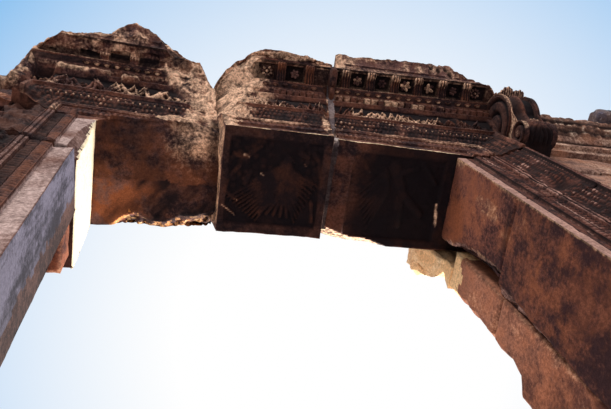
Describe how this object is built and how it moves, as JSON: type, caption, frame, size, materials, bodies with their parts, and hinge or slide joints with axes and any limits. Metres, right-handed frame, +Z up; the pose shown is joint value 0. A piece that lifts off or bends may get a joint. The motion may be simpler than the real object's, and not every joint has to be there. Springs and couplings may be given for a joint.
{
  "type": "ruined monumental temple doorway with a three-block flat arch",
  "caption": "Ruined stone temple doorway: two moulded jambs carry a carved flat arch of wedge blocks, the middle one slipped, with stub walls.",
  "frame": {"origin": "on the ground, midway between the jambs, in the plane of the inner fascia", "axes": "+X along the wall to the right, +Y into the doorway away from the carved front, +Z up"},
  "size_m": [15.6, 4.1181, 16.51],
  "materials": {
    "worn_stone": "worn limestone, smooth from use",
    "mortar": "grey cement mortar, rough",
    "golden_stone": "golden limestone, broken and weathered",
    "grey_stone": "limestone with grey weathering streaks",
    "wall_stone": "ochre limestone, rough and broken",
    "pier_stone": "orange brown limestone, weathered",
    "jamb_stone": "brown limestone with dark patina",
    "carved_stone": "carved limestone with dark brown patina"
  },
  "bodies": {
    "root": {"threshold": "worn_stone", "right_jamb_plinth": "jamb_stone", "right_jamb_lower": "jamb_stone", "right_jamb_middle": "jamb_stone", "right_jamb_upper": "jamb_stone", "left_jamb_plinth": "grey_stone", "left_jamb_lower": "grey_stone", "left_jamb_middle": "grey_stone", "left_jamb_upper": "grey_stone", "left_rear_block": "wall_stone", "lintel_left": "carved_stone", "lintel_keystone": "carved_stone", "lintel_right": "carved_stone", "joint_mortar": "mortar", "right_console": "carved_stone", "left_console_stump": "carved_stone", "right_wall_course_1": "wall_stone", "right_wall_course_2": "wall_stone", "right_wall_course_3": "wall_stone", "right_wall_course_4": "wall_stone", "right_wall_course_5": "wall_stone", "left_wall_course_1": "wall_stone", "left_wall_course_2": "wall_stone", "left_wall_course_3": "wall_stone", "left_wall_course_4": "wall_stone", "left_wall_course_5": "wall_stone", "right_wall_upper": "wall_stone", "right_wall_band": "wall_stone", "right_end_stone": "wall_stone", "left_wall_upper": "wall_stone", "right_pilaster_base": "pier_stone", "right_pilaster_lower": "pier_stone", "right_pilaster_middle": "pier_stone", "right_pilaster_upper": "pier_stone", "right_pilaster_capital": "golden_stone", "left_pilaster_base": "pier_stone", "left_pilaster_stump": "pier_stone"}
  },
  "joints": []
}
